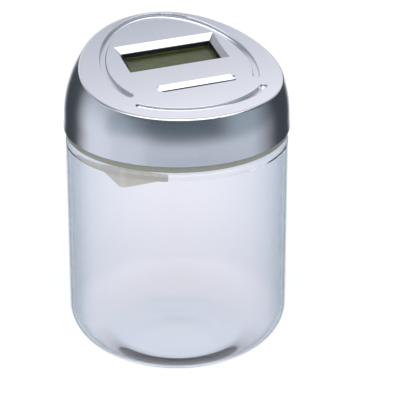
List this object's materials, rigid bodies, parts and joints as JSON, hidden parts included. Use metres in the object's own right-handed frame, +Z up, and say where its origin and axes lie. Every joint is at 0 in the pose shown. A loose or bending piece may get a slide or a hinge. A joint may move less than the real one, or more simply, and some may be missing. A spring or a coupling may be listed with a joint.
{
  "type": "coin counting jar",
  "caption": "Clear round money jar with a push-on silver lid that holds a tilted display, a coin slot with a measuring lever, and a battery box.",
  "frame": {"origin": "centre of the jar's base, on the surface it stands on", "axes": "+Z up along the jar's axis, -Y to the front, where the lid's top is lowest, +X to the right"},
  "size_m": [0.105, 0.105, 0.1537],
  "materials": {
    "clear_jar": "clear, glossy, faint blue tint",
    "seal_rubber": "soft, matt",
    "silver_paint": "silver metallic paint on plastic, satin gloss",
    "olive_plastic": "grey-olive, glossy",
    "grey_plastic": "light grey, fine texture",
    "beige_plastic": "beige-grey, fine texture",
    "white_plastic": "natural white",
    "black_plastic": "black, satin",
    "clear_window": "clear, polished",
    "lcd_glass": "olive, unlit",
    "reflector_foil": "satin foil",
    "zebra_rubber": "banded elastomer",
    "board_laminate": "green solder mask",
    "black_epoxy": "black, domed",
    "zinc_steel": "zinc-plated",
    "steel_wire": "bright drawn wire",
    "contact_brass": "polished",
    "nickel_plate": "nickel-plated",
    "cell_jacket": "plain printed film, no marks",
    "red_insulation": "PVC",
    "black_insulation": "PVC"
  },
  "bodies": {
    "jar": {"jar_body": "clear_jar"},
    "seal": {"seal_ring": "seal_rubber"},
    "lid": {"lid_shell": "silver_paint", "inner_collar": "olive_plastic", "underside_cover": "grey_plastic", "cover_screws": "zinc_steel", "display_bezel": "black_plastic", "display_window": "clear_window", "lcd_panel": "lcd_glass", "lcd_reflector": "reflector_foil", "zebra_strip": "zebra_rubber", "circuit_board": "board_laminate", "controller_chip": "black_epoxy", "board_screws": "zinc_steel", "slot_guide": "white_plastic", "lever_pin": "steel_wire", "lever_spring": "steel_wire", "sensor_board": "board_laminate", "sensor_tracks": "contact_brass", "battery_box": "beige_plastic", "door_pin": "steel_wire", "battery_left": "cell_jacket", "battery_right": "cell_jacket", "battery_contacts": "nickel_plate", "battery_springs": "nickel_plate", "reset_switch": "black_plastic", "reset_spring": "steel_wire", "wire_red": "red_insulation", "wire_black": "black_insulation"},
    "lever": {"coin_lever": "white_plastic", "lever_wiper": "contact_brass"},
    "door": {"battery_door": "beige_plastic"},
    "reset": {"reset_button": "black_plastic"}
  },
  "joints": [
    {"name": "lid_lift", "type": "slide", "parent": "jar", "child": "seal", "axis": [0, 0, 1], "range_m": [0, 0.1]},
    {"name": "lid_turn", "type": "hinge", "parent": "seal", "child": "lid", "pos_m": [0, 0, 0.115], "axis": [0, 0, 1], "continuous": true},
    {"name": "coin_lever_swing", "type": "hinge", "parent": "lid", "child": "lever", "pos_m": [0.024, -0.01705, 0.127], "axis": [0, -1, 0], "range_deg": [0, 50], "stiffness_Nm_per_rad": 0.004, "springref_deg": -28.65},
    {"name": "battery_door_swing", "type": "hinge", "parent": "lid", "child": "door", "pos_m": [-0.0262, 0.0217, 0.0965], "axis": [1, 0, 0], "range_deg": [0, 95]},
    {"name": "reset_press", "type": "slide", "parent": "lid", "child": "reset", "axis": [0, 0, 1], "range_m": [0, 0.0012], "stiffness_N_per_m": 300, "springref_m": -0.001, "deforming": ["reset_spring"]}
  ]
}
